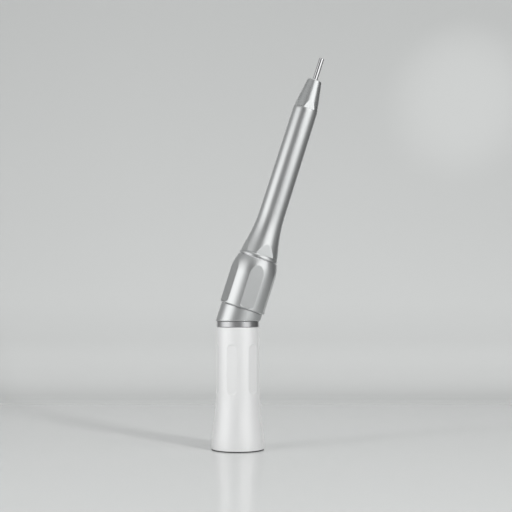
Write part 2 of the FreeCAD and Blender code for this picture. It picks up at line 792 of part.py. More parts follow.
def build_grip():
    """Pieces on the axis of the grip."""
    save("grip_sleeve", grip_sleeve())
    save("rim_seal", rim_seal())
    save("coupling_body", coupling_body())
    save("catch_ring", catch_ring())
    save("grip_seal", seal(body_radius - seal_section - seal_room, grip_seal_height))
    save("trim_ring", trim_ring())
    save("elbow", elbow())
    outer, inner, balls = zip(*[bearing(shaft_bearing, shaft_ball_count, low)
                                for low in (drive_rear_bearing, drive_front_bearing)])
    save("drive_bearing_outer_rings", *outer)
    save("drive_bearing_inner_rings", *inner)
    save("drive_bearing_balls", *sum(balls, []))
    save("drive_bearing_spacer",
         tube(shaft_bearing[1], shaft_bearing[1] - spacer_wall,
              drive_rear_bearing + shaft_bearing[2], drive_front_bearing))
    save("drive_shaft", drive_shaft())
    save("drive_dog", drive_dog())
    gear = bevel_gear(shaft_bearing[0] + seat_gap, 180.0 / tooth_count)
    gear.rotate(V(0, 0, 0), V(1, 0, 0), 180)
    gear.translate(V(0, 0, bend_height))
    save("drive_bevel_gear", gear)


def build_front():
    """Pieces on the leaning axis."""
    save_leaned("body_tube", body_tube())
    save_leaned("bearing_carrier", bearing_carrier())
    save_leaned("lock_collar", lock_collar())
    save_leaned("collar_seals", *[seal(body_tube_radius - seal_section - seal_room, height)
                                  for height in collar_seal_places()])
    ball, cartridge = detent_parts()
    save_leaned("detent_ball", ball)
    save_leaned("detent_cartridge", cartridge)
    save_leaned("release_sleeve", release_sleeve())
    save_leaned("cam_pins", *[radial_rod(cam_pin_radius, release_bore, cam_pin_reach, angle, pin_station)
                              for angle in around(cam_pin_count, 90)])
    save_leaned("bead_ring", bead_ring())
    save_leaned("front_sleeve", front_sleeve())
    save_leaned("nose_cone", nose_cone())
    save_leaned("lip_seal", lip_seal())
    places = ((shaft_bearing, shaft_ball_count, spindle_bearing_rear),
              (nose_bearing, nose_ball_count, middle_bearing_place),
              (nose_bearing, nose_ball_count, spindle_front_bearing))
    outer, inner, balls = zip(*[bearing(*place) for place in places])
    save_leaned("spindle_bearing_outer_rings", *outer)
    save_leaned("spindle_bearing_inner_rings", *inner)
    save_leaned("spindle_bearing_balls", *sum(balls, []))
    save_leaned("spindle_spacer_tube",
                tube(nose_bearing[1], nose_bearing[1] - spacer_wall,
                     middle_bearing_place + nose_bearing[2], spindle_front_bearing))
    save_leaned("spindle", spindle())
    save_leaned("spindle_bevel_gear", bevel_gear(shaft_bearing[0] + seat_gap, 0.0))
    save_leaned("disc_springs", *disc_springs())
    save_leaned("thrust_ring", thrust_ring())
    save_leaned("cross_pin", cross_bar(pin_radius, thrust_radius - seat_gap))
    save_leaned("drawbar", drawbar())
    save_leaned("collet", collet())
    save_leaned("tool_shank", tool_shank())


os.makedirs("parts", exist_ok=True)
build_grip()
build_front()
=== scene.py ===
"""Surgical straight handpiece with an angled body, standing on the rear rim of its grip."""
import bpy
import json
import math
from mathutils import Matrix, Vector


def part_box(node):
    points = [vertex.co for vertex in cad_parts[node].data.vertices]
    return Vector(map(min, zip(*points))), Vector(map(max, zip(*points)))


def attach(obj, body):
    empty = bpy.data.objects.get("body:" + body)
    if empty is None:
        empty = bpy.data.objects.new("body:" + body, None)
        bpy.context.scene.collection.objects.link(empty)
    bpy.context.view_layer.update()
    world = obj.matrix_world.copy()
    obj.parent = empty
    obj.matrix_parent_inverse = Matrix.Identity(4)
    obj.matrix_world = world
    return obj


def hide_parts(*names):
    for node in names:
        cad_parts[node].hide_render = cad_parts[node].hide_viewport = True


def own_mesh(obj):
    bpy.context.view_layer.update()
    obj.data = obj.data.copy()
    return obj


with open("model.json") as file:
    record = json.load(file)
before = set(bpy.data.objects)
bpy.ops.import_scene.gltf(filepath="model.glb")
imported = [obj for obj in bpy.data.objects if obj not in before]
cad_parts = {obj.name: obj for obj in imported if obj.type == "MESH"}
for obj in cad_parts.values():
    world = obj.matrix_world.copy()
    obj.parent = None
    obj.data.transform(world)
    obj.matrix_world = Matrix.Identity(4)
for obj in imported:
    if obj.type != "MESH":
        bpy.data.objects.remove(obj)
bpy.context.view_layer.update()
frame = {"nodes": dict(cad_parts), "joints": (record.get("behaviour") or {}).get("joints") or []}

# Coupling body: the stainless steel core of the grip, bored out from below as the motor socket.
# It is turned from bar, so it keeps fine rings from the lathe tool all along, and it shows only
# from underneath, through the open rear end of the grip.
MM = 0.001


class Wire:
    """A socket of a node tree: arithmetic on it adds Math nodes, and add() adds any other node."""

    def __init__(self, tree, socket=None):
        self.tree = tree
        self.socket = socket

    def add(self, kind, sockets=None, out=0, stops=None, **settings):
        """One node with its settings, its ramp stops, and the values or links of its sockets."""
        node = self.tree.nodes.new(kind)
        for name, value in settings.items():
            setattr(node, name, value)
        for k, (place, grey) in enumerate(stops or ()):
            ramp = node.color_ramp.elements
            stop = ramp[k] if k < 2 else ramp.new(place)
            stop.position = place
            stop.color = (grey, grey, grey, 1)
        for key, value in (sockets or {}).items():
            if isinstance(value, Wire):
                self.tree.links.new(value.socket, node.inputs[key])
            else:
                node.inputs[key].default_value = value
        return Wire(self.tree, node.outputs[out] if node.outputs else None)

    def output(self, key):
        """Another output of the same node."""
        return Wire(self.tree, self.socket.node.outputs[key])

    def math(self, operation, *values, clamp=False):
        sockets = dict(enumerate((self,) + values))
        return self.add("ShaderNodeMath", sockets, operation=operation, use_clamp=clamp)

    def __add__(self, other):
        return self.math("ADD", other)

    def __sub__(self, other):
        return self.math("SUBTRACT", other)

    def __mul__(self, other):
        return self.math("MULTIPLY", other)

    def __truediv__(self, other):
        return self.math("DIVIDE", other)

    def __rsub__(self, other):
        return self.add("ShaderNodeMath", {0: other, 1: self}, operation="SUBTRACT")

    def __rtruediv__(self, other):
        return self.add("ShaderNodeMath", {0: other, 1: self}, operation="DIVIDE")

    __radd__ = __add__
    __rmul__ = __mul__


def new_finish(name, **constants):
    """An empty material: its shader node, and a wire to start from."""
    material = bpy.data.materials.new(name)
    material.use_nodes = True
    shader = material.node_tree.nodes["Principled BSDF"]
    for key, value in constants.items():
        shader.inputs[key.replace("_", " ")].default_value = value
    return material, shader, Wire(material.node_tree)


def feed(shader, **wires):
    """Links varying values to the shader's sockets."""
    for key, wire in wires.items():
        wire.tree.links.new(wire.socket, shader.inputs[key.replace("_", " ")])


spin_joint = next(joint for joint in frame["joints"] if joint["name"] == "spindle_spin")
bend_point = Vector(spin_joint["pos_m"])
lean_axis = Vector(spin_joint["axis"]).normalized()
lean_angle = math.atan2(lean_axis.x, lean_axis.z)
leaning = Matrix.Translation(bend_point) @ Matrix.Rotation(lean_angle, 4, "Y")


def piece_place(start, leans):
    """Coordinates on the piece: along the grip, or along the leaning axis from the bend."""
    place = start.add("ShaderNodeTexCoord", out="Object")
    if not leans:
        return place
    return place.add("ShaderNodeMapping", {
        "Vector": place, "Location": bend_point, "Rotation": (0, lean_angle, 0)},
        vector_type="TEXTURE")


def grey_mix(start, factor, dark, light):
    """Colour between two colours, by a factor from 0 to 1."""
    return start.add("ShaderNodeMix", {0: factor, 6: (*dark, 1), 7: (*light, 1)},
                     data_type="RGBA", out=2)


def turned_steel(name, leans, colour, shine, ring_depth):
    """Bare steel from the lathe: fine rings round the axis, stains where it was handled."""
    material, shader, start = new_finish(name, Metallic=1.0, Anisotropic=0.4)
    place = piece_place(start, leans)
    stretched = start.add("ShaderNodeMapping", {"Vector": place, "Scale": (0.04, 0.04, 1.0)})
    rings = start.add("ShaderNodeTexNoise", {"Vector": stretched, "Scale": 9000.0, "Detail": 3.0})
    stain = start.add("ShaderNodeTexNoise", {"Vector": place, "Scale": 220.0, "Detail": 4.0})
    dark = [0.86 * part for part in colour]
    bump = start.add("ShaderNodeBump", {"Height": rings, "Strength": 0.35, "Distance": ring_depth})
    feed(shader, Base_Color=grey_mix(start, stain, dark, colour),
         Roughness=rings * 0.10 + stain * 0.12 + shine, Normal=bump)
    return material


def dress(material, *names):
    """Gives CAD nodes their finish. Their shading stays flat, so that their edges are true."""
    for name in names:
        node = frame["nodes"][name]
        node.data.materials.clear()
        node.data.materials.append(material)


turned_grip_steel = turned_steel("turned_steel_grip", False, (0.55, 0.55, 0.56), 0.20, 0.004 * MM)
turned_front_steel = turned_steel("turned_steel_front", True, (0.55, 0.55, 0.56), 0.20, 0.004 * MM)
dress(turned_grip_steel, "coupling_body", "catch_ring", "drive_shaft", "drive_dog",
      "drive_bearing_spacer", "drive_bevel_gear", "drive_bearing_outer_rings",
      "drive_bearing_inner_rings", "drive_bearing_balls")
dress(turned_front_steel, "body_tube", "bearing_carrier", "release_sleeve", "cam_pins", "spindle",
      "spindle_bevel_gear", "spindle_bearing_outer_rings", "spindle_bearing_inner_rings",
      "spindle_bearing_balls", "spindle_spacer_tube", "thrust_ring", "cross_pin",
      "drawbar", "collet", "detent_ball", "detent_cartridge")
# Black rubber: real on the inner seals. On rim_seal, a thin black ring under the grip's rear rim, it
# is painted shade for the dark line where the grip stands on the floor.
seal_rubber, rubber_shader, rubber_start = new_finish("seal_rubber", Metallic=0.0)
rubber_grain = rubber_start.add("ShaderNodeTexNoise", {
    "Vector": piece_place(rubber_start, False), "Scale": 4000.0, "Detail": 2.0})
feed(rubber_shader, Base_Color=grey_mix(rubber_start, rubber_grain, (0.01,) * 3, (0.03,) * 3),
     Roughness=rubber_grain * 0.2 + 0.5)
dress(seal_rubber, "rim_seal", "grip_seal", "collar_seals", "lip_seal")


# Grip sleeve: moulded in white plastic and pressed over the coupling body. The mould leaves it
# semi-matt. Its rear end flares like a bell, and six long shallow flats lie round the grip.
def arc_points(centre, radius, start, end, count):
    """Points (radius, height) along a round corner, angles in degrees from the radius direction."""
    points = []
    for k in range(count + 1):
        angle = math.radians(start + (end - start) * k / count)
        points.append((centre[0] + radius * math.cos(angle), centre[1] + radius * math.sin(angle)))
    return points


def smooth_points(poles, count):
    """Points along a cubic curve with four poles."""
    points = []
    for k in range(count + 1):
        t = k / count
        weights = ((1 - t) ** 3, 3 * t * (1 - t) ** 2, 3 * t * t * (1 - t), t ** 3)
        points.append(tuple(sum(w * p[i] for w, p in zip(weights, poles)) for i in (0, 1)))
    return points


def straight_points(start, end, step):
    """Points along a straight run, no further apart than the step."""
    count = max(1, math.ceil(math.dist(start, end) / step))
    return [tuple(s + (e - s) * k / count for s, e in zip(start, end)) for k in range(count + 1)]


def turned_mesh(name, outline, sides):
    """Closed solid turned about the axis from a closed outline of (radius, height) points."""
    kept = [p for k, p in enumerate(outline) if math.dist(p, outline[k - 1]) > 1e-7]
    vertices = []
    for radius, height in kept:
        for k in range(sides):
            angle = 2 * math.pi * k / sides
            vertices.append((radius * math.cos(angle), radius * math.sin(angle), height))
    faces = []
    rings = len(kept)
    for ring in range(rings):
        after = (ring + 1) % rings
        for k in range(sides):
            following = (k + 1) % sides
            faces.append((ring * sides + k, ring * sides + following,
                          after * sides + following, after * sides + k))
    mesh = bpy.data.meshes.new(name)
    mesh.from_pydata(vertices, [], faces)
    mesh.polygons.foreach_set("use_smooth", [True] * len(faces))
    piece = bpy.data.objects.new(name, mesh)
    bpy.context.scene.collection.objects.link(piece)
    return piece


def start_tree(name, *labels):
    """Node tree for a piece, with a number for each label and a finish, as a wire from its inputs."""
    tree = bpy.data.node_groups.new(name, "GeometryNodeTree")
    tree.interface.new_socket("Geometry", in_out="INPUT", socket_type="NodeSocketGeometry")
    for label in labels:
        tree.interface.new_socket(label, in_out="INPUT", socket_type="NodeSocketFloat")
    tree.interface.new_socket("Finish", in_out="INPUT", socket_type="NodeSocketMaterial")
    tree.interface.new_socket("Geometry", in_out="OUTPUT", socket_type="NodeSocketGeometry")
    return Wire(tree).add("NodeGroupInput")


def end_tree(given, shaped):
    """Makes the shaped geometry real, gives it the finish, and returns the whole tree."""
    realized = given.add("GeometryNodeRealizeInstances", {0: shaped})
    finished = given.add("GeometryNodeSetMaterial", {"Geometry": realized,
                                                     "Material": given.output("Finish")})
    given.add("NodeGroupOutput", {"Geometry": finished})
    return given.tree


def flats_tree():
    """Node tree that cuts equal flats round a turned piece, each in a window with round corners."""
    given = start_tree("cut_flats", "Count", "First angle", "Distance", "Width", "Low end",
                       "High end", "Corner", "Soft edge", "Soft end")
    where = given.add("ShaderNodeSeparateXYZ", {0: given.add("GeometryNodeInputPosition")})
    x, y, height = where, where.output(1), where.output(2)
    radius = (x * x + y * y).math("SQRT").math("MAXIMUM", 1e-6)
    sector = 2 * math.pi / given.output("Count")
    angle = y.math("ARCTAN2", x) - given.output("First angle")
    off = angle - (angle / sector).math("ROUND") * sector
    flat_radius = given.output("Distance") / off.math("COSINE")
    across = (flat_radius * off.math("SINE")).math("ABSOLUTE")
    middle = (given.output("Low end") + given.output("High end")) * 0.5
    half = (given.output("High end") - given.output("Low end")) * 0.5
    corner = given.output("Corner")
    side = across - given.output("Width") * 0.5 + corner
    end = (height - middle).math("ABSOLUTE") - half + corner
    beyond = (side.math("MAXIMUM", 0.0).math("POWER", 2.0)
              + end.math("MAXIMUM", 0.0).math("POWER", 2.0)).math("SQRT")
    inside = side.math("MAXIMUM", end).math("MINIMUM", 0.0)
    outward = beyond + inside - corner
    share = given.add("ShaderNodeMapRange", {
        "Value": outward, "From Min": 0.0, "From Max": 0.0 - given.output("Soft end"),
        "To Min": 0.0, "To Max": 1.0}, interpolation_type="SMOOTHSTEP")
    cut = radius.math("SMOOTH_MIN", flat_radius, given.output("Soft edge"))
    scale = (radius + (cut - radius) * share) / radius
    moved = given.add("ShaderNodeCombineXYZ", {0: x * scale, 1: y * scale, 2: height})
    return end_tree(given, given.add("GeometryNodeSetPosition", {
        "Geometry": given.output("Geometry"), "Position": moved}))


cut_flats = flats_tree()


def shape_and_place(piece, tree, finish, leans, **sizes):
    """Runs a node tree on a turned piece, and leans the result if it belongs to the front."""
    piece.data.materials.append(finish)
    modifier = piece.modifiers.new(tree.name, "NODES")
    modifier.node_group = tree
    inputs = {item.name: item.identifier for item in tree.interface.items_tree
              if item.in_out == "INPUT"}
    for label, value in sizes.items():
        modifier[inputs[label.replace("_", " ")]] = float(value)
    modifier[inputs["Finish"]] = finish
    place_mesh(piece, leans)


def place_mesh(piece, leans):
    """Turns what the modifiers make into the piece's plain mesh, in its place."""
    bpy.context.view_layer.update()
    shaped = piece.evaluated_get(bpy.context.evaluated_depsgraph_get())
    mesh = bpy.data.meshes.new_from_object(shaped)
    piece.modifiers.clear()
    if leans:
        mesh.transform(leaning)
    piece.data = mesh


def front_angle(degrees):
    """Angle from +X of something that faces the instrument's front, turned towards +X."""
    return math.radians(degrees - 90)


def moulded_plastic():
    """White plastic with the fine grain of its mould and a few hairline marks from handling."""
    material, shader, start = new_finish("white_plastic", Metallic=0.0, IOR=1.5, Coat_Weight=1.0,
                                         Coat_IOR=2.1, Coat_Roughness=0.26)
    place = piece_place(start, False)
    grain = start.add("ShaderNodeTexNoise", {"Vector": place, "Scale": 5200.0, "Detail": 3.0})
    flow = start.add("ShaderNodeTexNoise", {"Vector": place, "Scale": 60.0, "Detail": 2.0})
    handled = start.add("ShaderNodeTexNoise", {"Vector": place, "Scale": 700.0, "Detail": 5.0})
    marks = handled.add("ShaderNodeValToRGB", {0: handled}, stops=((0.62, 0.0), (0.72, 1.0)))
    bump = start.add("ShaderNodeBump", {"Height": grain, "Strength": 0.25, "Distance": 0.01 * MM})
    feed(shader, Base_Color=grey_mix(start, flow, (0.90, 0.90, 0.90), (0.92, 0.92, 0.92)),
         Roughness=grain * 0.06 + marks * 0.05 + 0.38, Normal=bump)
    return material


grip_low, grip_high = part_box("grip_sleeve")
grip_length = grip_high.z
grip_base = grip_high.x
grip_radius = 9.95 * MM
grip_bore = 9.02 * MM
rim_recess = 10.6 * MM
rim_recess_depth = 2.0 * MM
# The grip's rear rim steps up over the thin black ring of painted shade.
shade_ring_bore = 11.28 * MM
shade_ring_height = 0.4 * MM
base_round = 0.15 * MM
grip_round = 0.45 * MM
bell_length = 27.5 * MM
bell_pull = bell_length / 3
grip_flat = 4.95 * MM
grip_outline = (
    [(grip_bore, rim_recess_depth), (rim_recess, rim_recess_depth), (rim_recess, 0.1 * MM),
     (rim_recess + 0.1 * MM, 0), (shade_ring_bore, 0), (shade_ring_bore, shade_ring_height)]
    + arc_points((grip_base - base_round, shade_ring_height + base_round), base_round, -90, 0, 6)
    + smooth_points(((grip_base, shade_ring_height + base_round), (grip_base, bell_pull),
                     (grip_radius, bell_length - 1.4 * bell_pull), (grip_radius, bell_length)), 110)
    + straight_points((grip_radius, bell_length), (grip_radius, grip_length - grip_round), 0.25 * MM)
    + arc_points((grip_radius - grip_round, grip_length - grip_round), grip_round, 0, 90, 8)
    + [(grip_bore, grip_length)])
white_plastic = moulded_plastic()
grip = turned_mesh("moulded_grip", grip_outline, 300)
shape_and_place(grip, cut_flats, white_plastic, False, Count=6, First_angle=front_angle(-15.0),
                Distance=math.sqrt(grip_radius ** 2 - (grip_flat / 2) ** 2),
                Width=grip_flat + 0.4 * MM, Low_end=25.5 * MM, High_end=48.2 * MM,
                Corner=grip_flat / 2 + 0.2 * MM, Soft_edge=0.02 * MM, Soft_end=0.5 * MM)
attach(grip, "housing")
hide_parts("grip_sleeve")


# Trim ring: a steel ring between grip and elbow, turned and then polished to a mirror, with a
# narrow chamfer on both edges. It is slipped over the neck of the coupling body.
def polished_steel(name, leans, colour, shine):
    """Mirror-polished steel with faint hairlines round the axis."""
    material, shader, start = new_finish(name, Metallic=1.0)
    place = piece_place(start, leans)
    stretched = start.add("ShaderNodeMapping", {"Vector": place, "Scale": (0.05, 0.05, 1.0)})
    hairs = start.add("ShaderNodeTexNoise", {"Vector": stretched, "Scale": 12000.0, "Detail": 2.0})
    smear = start.add("ShaderNodeTexNoise", {"Vector": place, "Scale": 300.0, "Detail": 3.0})
    bump = start.add("ShaderNodeBump", {"Height": hairs, "Strength": 0.12, "Distance": 0.002 * MM})
    dark = [0.93 * part for part in colour]
    feed(shader, Base_Color=grey_mix(start, smear, dark, colour),
         Roughness=hairs * 0.04 + smear * 0.05 + shine, Normal=bump)
    return material


trim_low, trim_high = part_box("trim_ring")
trim_radius = trim_high.x
trim_bore = 8.22 * MM
trim_chamfer = 0.25 * MM
trim_outline = (
    [(trim_bore, trim_low.z)]
    + straight_points((trim_radius - trim_chamfer, trim_low.z),
                      (trim_radius, trim_low.z + trim_chamfer), trim_chamfer)
    + [(trim_radius, trim_high.z - trim_chamfer), (trim_radius - trim_chamfer, trim_high.z),
       (trim_bore, trim_high.z)])
trim = turned_mesh("polished_trim_ring", trim_outline, 256)
trim.data.set_sharp_from_angle(angle=math.radians(25))
trim.data.materials.append(polished_steel("polished_ring", False, (0.46, 0.46, 0.465), 0.07))
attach(trim, "housing")
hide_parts("trim_ring")


# Elbow: the outer barrel of the angled body, stainless steel, blasted to a satin finish. Its axis
# leans, and its foot is cut square to the grip, so that it sits flat on the trim ring.
def satin_steel(name, leans, colour, shine):
    """Bead-blasted steel with a trace of the turning marks below."""
    material, shader, start = new_finish(name, Metallic=1.0)
    place = piece_place(start, leans)
    grain = start.add("ShaderNodeTexNoise", {"Vector": place, "Scale": 6500.0, "Detail": 2.0})
    stretched = start.add("ShaderNodeMapping", {"Vector": place, "Scale": (0.03, 0.03, 1.0)})
    rings = start.add("ShaderNodeTexNoise", {"Vector": stretched, "Scale": 7000.0, "Detail": 2.0})
    wear = start.add("ShaderNodeTexNoise", {"Vector": place, "Scale": 130.0, "Detail": 5.0})
    bump = start.add("ShaderNodeBump", {"Height": grain * 0.7 + rings * 0.3, "Strength": 0.2,
                                        "Distance": 0.006 * MM})
    dark = [0.94 * part for part in colour]
    feed(shader, Base_Color=grey_mix(start, wear, dark, colour),
         Roughness=grain * 0.06 + rings * 0.05 + wear * 0.06 + shine, Normal=bump)
    return material


satin = satin_steel("satin_steel", True, (0.56, 0.57, 0.57), 0.25)
elbow_radius = 9.78 * MM
elbow_length = 6.15 * MM
elbow_bore = 8.12 * MM
elbow_round = 0.5 * MM


def elbow_mesh(sides, rows):
    """Leaning barrel between the plane of the trim ring and the seam, with its inner wall."""
    tilt = math.tan(lean_angle)
    vertices = []
    crown = 0.12 * MM
    for k in range(sides):
        angle = 2 * math.pi * k / sides
        foot = tilt * math.cos(angle)
        column = []
        for step in range(9):
            turn = math.radians(90 * step / 8)
            inset = elbow_round * (1 - math.sin(turn))
            rise = elbow_round * (1 - math.cos(turn))
            radius = elbow_radius - inset
            column.append((radius, foot * radius + rise))
        for step in range(1, rows):
            low = foot * elbow_radius + elbow_round
            column.append((elbow_radius, low + (elbow_length - crown - low) * step / rows))
        for step in range(5):
            turn = math.radians(90 * step / 4)
            column.append((elbow_radius - crown * (1 - math.cos(turn)),
                           elbow_length - crown * (1 - math.sin(turn))))
        column.append((elbow_bore, elbow_length))
        column.append((elbow_bore, foot * elbow_bore))
        for radius, height in column:
            vertices.append((radius * math.cos(angle), radius * math.sin(angle), height))
    count = len(column)
    faces = []
    for k in range(sides):
        after = (k + 1) % sides
        for row in range(count):
            following = (row + 1) % count
            faces.append((k * count + row, after * count + row,
                          after * count + following, k * count + following))
    mesh = bpy.data.meshes.new("satin_elbow")
    mesh.from_pydata(vertices, [], faces)
    mesh.polygons.foreach_set("use_smooth", [True] * len(faces))
    return mesh


elbow = bpy.data.objects.new("satin_elbow", elbow_mesh(256, 12))
bpy.context.scene.collection.objects.link(elbow)
elbow.data.set_sharp_from_angle(angle=math.radians(40))
elbow.data.materials.append(satin)
place_mesh(elbow, True)
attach(elbow, "housing")
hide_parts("elbow")


# Disc springs: eight cone washers of spring steel, stamped and tumbled until their edges are round.
# They are threaded on the spindle with every second one turned over, hold the collet shut, and lie
# against the spindle's shoulder in front of them.
def eased(outline, size):
    """Closed outline with its corners rounded off."""
    points = []
    for k, corner in enumerate(outline):
        here = Vector(corner)
        before = here.lerp(Vector(outline[k - 1]), size / math.dist(corner, outline[k - 1]))
        following = outline[(k + 1) % len(outline)]
        after = here.lerp(Vector(following), size / math.dist(corner, following))
        points += [tuple(before), tuple(here.lerp((before + after) / 2, 0.5)), tuple(after)]
    return points


def stack_tree():
    """Node tree that lines copies of one washer up on the axis, every second one turned over."""
    given = start_tree("stack_washers", "Count", "First", "Pitch")
    line = given.add("GeometryNodeMeshLine", {
        "Count": given.output("Count"),
        "Start Location": given.add("ShaderNodeCombineXYZ", {2: given.output("First")}),
        "Offset": given.add("ShaderNodeCombineXYZ", {2: given.output("Pitch")})})
    turn = given.add("GeometryNodeInputIndex").math("MODULO", 2.0) * math.pi
    return end_tree(given, given.add("GeometryNodeInstanceOnPoints", {
        "Points": line, "Instance": given.output("Geometry"),
        "Rotation": given.add("ShaderNodeCombineXYZ", {0: turn})}))


spring_bore = 2.55 * MM
spring_rim = 4.2 * MM
spring_sheet = 0.35 * MM
spring_pitch = 0.91 * MM
spring_count = 8
spring_front = 25.03 * MM
spring_edge = 0.05 * MM
spring_stack = spring_count * spring_pitch
dish = spring_pitch - spring_sheet
washer_outline = [(spring_bore, dish - spring_pitch / 2), (spring_rim, -spring_pitch / 2),
                  (spring_rim, spring_sheet - spring_pitch / 2), (spring_bore, spring_pitch / 2)]
springs = turned_mesh("disc_spring_stack", eased(washer_outline, spring_edge), 96)
springs.data.set_sharp_from_angle(angle=math.radians(50))
shape_and_place(springs, stack_tree(), turned_front_steel, True, Count=spring_count,
                First=spring_front - spring_stack + spring_pitch / 2, Pitch=spring_pitch)
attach(springs, "spindle")
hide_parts("disc_springs")
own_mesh(springs)

# Twist collar: turned and blasted stainless steel. It turns on the body tube to open the chuck.
# Five long flats give the fingers hold, and run out on its domed shoulder.
collar_rear = 6.35 * MM
collar_front = 30.1 * MM
collar_radius = 10.6 * MM
collar_bore = 8.15 * MM
collar_round = 0.6 * MM
collar_flat = 10.07 * MM
shoulder_length = 7.9 * MM
shoulder_radius = 9.1 * MM
shoulder_drop = collar_radius - shoulder_radius
shoulder_bend = (shoulder_length ** 2 + shoulder_drop ** 2) / (2 * shoulder_drop)
shoulder_sweep = math.degrees(math.asin(shoulder_length / shoulder_bend))
collar_lip = 0.12 * MM
collar_outline = (
    [(collar_bore, collar_rear)]
    + arc_points((collar_radius - collar_round, collar_rear + collar_round), collar_round, -90, 0, 8)
    + straight_points((collar_radius, collar_rear + collar_round),
                      (collar_radius, collar_rear + 4 * MM), 0.12 * MM)
    + straight_points((collar_radius, collar_rear + 4 * MM),
                      (collar_radius, collar_front - shoulder_length), 0.4 * MM)
    + arc_points((collar_radius - shoulder_bend, collar_front - shoulder_length), shoulder_bend,
                 0, shoulder_sweep, 60)[:-1]
    + arc_points((shoulder_radius - collar_lip, collar_front - collar_lip), collar_lip,
                 shoulder_sweep, 90, 5)
    + [(collar_bore, collar_front)])
collar = turned_mesh("satin_collar", collar_outline, 360)
shape_and_place(collar, cut_flats, satin, True, Count=5, First_angle=front_angle(10.6),
                Distance=collar_flat,
                Width=2 * math.sqrt(collar_radius ** 2 - collar_flat ** 2) + 0.1 * MM,
                Low_end=collar_rear + 0.6 * MM, High_end=collar_front + 3 * MM,
                Corner=1.8 * MM, Soft_edge=0.04 * MM, Soft_end=0.22 * MM)
collar.data.set_sharp_from_angle(angle=math.radians(50))
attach(collar, "collar")
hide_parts("lock_collar")

# Bead ring: a narrow ring of the same steel, crowned so that it carries on the line of the collar's
# shoulder, and clamped between the body tube's shoulder and the front sleeve.
bead_rear = 30.5 * MM
bead_front = 32.1 * MM
bead_radius = 8.95 * MM
bead_bore = 6.42 * MM
bead_lip = 0.06 * MM
bead_start = math.radians(-2)
bead_end = math.radians(32)
bead_bend = (bead_front - bead_rear - bead_lip) / (math.sin(bead_end) - math.sin(bead_start))
bead_centre = (bead_radius - bead_bend * math.cos(bead_start),
               bead_rear + bead_lip - bead_bend * math.sin(bead_start))
bead_outline = (
    [(bead_bore, bead_rear)]
    + arc_points((bead_radius - bead_lip, bead_rear + bead_lip), bead_lip, -90, -5, 4)
    + arc_points(bead_centre, bead_bend, math.degrees(bead_start), math.degrees(bead_end), 16)
    + [(bead_bore, bead_front)])
bead = turned_mesh("satin_bead_ring", bead_outline, 256)
bead.data.materials.append(satin)
bead.data.set_sharp_from_angle(angle=math.radians(50))
place_mesh(bead, True)
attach(bead, "housing")
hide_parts("bead_ring")

# Front sleeve: one slim turned and blasted tube, flared where it meets the bead ring, with four
# spanner facets at the foot of the flare.
flare_front = 51.5 * MM
flare_radius = 8.75 * MM
slim_rear = 5.97 * MM
slim_front = 5.7 * MM
nose_rear = 102.8 * MM
sleeve_bore = 4.02 * MM
sleeve_neck = 6.42 * MM
neck_end = 36.2 * MM
core_rear = 45 * MM
throat_radius = 5.4 * MM
sleeve_facet = 7.65 * MM
foot_round = 0.15 * MM
flare_poles = ((flare_radius, bead_front + foot_round), (7.35 * MM, bead_front + 6.4 * MM),
               (6.1 * MM, bead_front + 11.4 * MM), (slim_rear, flare_front))
sleeve_outline = (
    [(sleeve_neck, bead_front), (flare_radius - foot_round, bead_front)]
    + smooth_points(flare_poles, 150)
    + straight_points((slim_rear, flare_front), (slim_front, nose_rear - foot_round), 1 * MM)
    + [(slim_front - foot_round / 2, nose_rear), (sleeve_bore, nose_rear),
       (sleeve_bore, core_rear), (throat_radius, neck_end), (sleeve_neck, neck_end)])
sleeve = turned_mesh("satin_front_sleeve", sleeve_outline, 320)
shape_and_place(sleeve, cut_flats, satin, True, Count=4, First_angle=front_angle(19.5),
                Distance=sleeve_facet, Width=40 * MM, Low_end=bead_front - 5 * MM,
                High_end=flare_front, Corner=0.1 * MM, Soft_edge=0.04 * MM, Soft_end=0.1 * MM)
sleeve.data.set_sharp_from_angle(angle=math.radians(50))
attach(sleeve, "housing")
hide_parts("front_sleeve")

# Nose cone: a plain steel cone that screws into the front sleeve and guides the spindle's end.
# Four facets at its foot take the spanner.
nose_tip = 116.8 * MM
nose_foot = 5.65 * MM
nose_end = 3.3 * MM
nose_bore = 2.7 * MM
nose_round = 0.35 * MM
nose_facet = 5.02 * MM
nose_slope = (nose_foot - nose_end) / (nose_tip - nose_rear)
nose_outline = (
    [(nose_bore, nose_rear), (nose_foot - foot_round, nose_rear)]
    + straight_points((nose_foot, nose_rear + foot_round),
                      (nose_end + nose_slope * nose_round, nose_tip - nose_round), 0.12 * MM)
    + arc_points((nose_end - nose_round, nose_tip - nose_round), nose_round, 5, 90, 6)
    + [(nose_bore + 0.1 * MM, nose_tip), (nose_bore, nose_tip - 0.1 * MM)])
nose = turned_mesh("satin_nose_cone", nose_outline, 256)
nose_steel = satin_steel("nose_steel", True, (0.55, 0.56, 0.56), 0.20)
shape_and_place(nose, cut_flats, nose_steel, True, Count=4, First_angle=front_angle(16.0),
                Distance=nose_facet, Width=40 * MM, Low_end=nose_rear - 5 * MM, High_end=nose_tip,
                Corner=0.1 * MM, Soft_edge=0.03 * MM, Soft_end=0.1 * MM)
nose.data.set_sharp_from_angle(angle=math.radians(50))
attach(nose, "housing")
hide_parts("nose_cone")

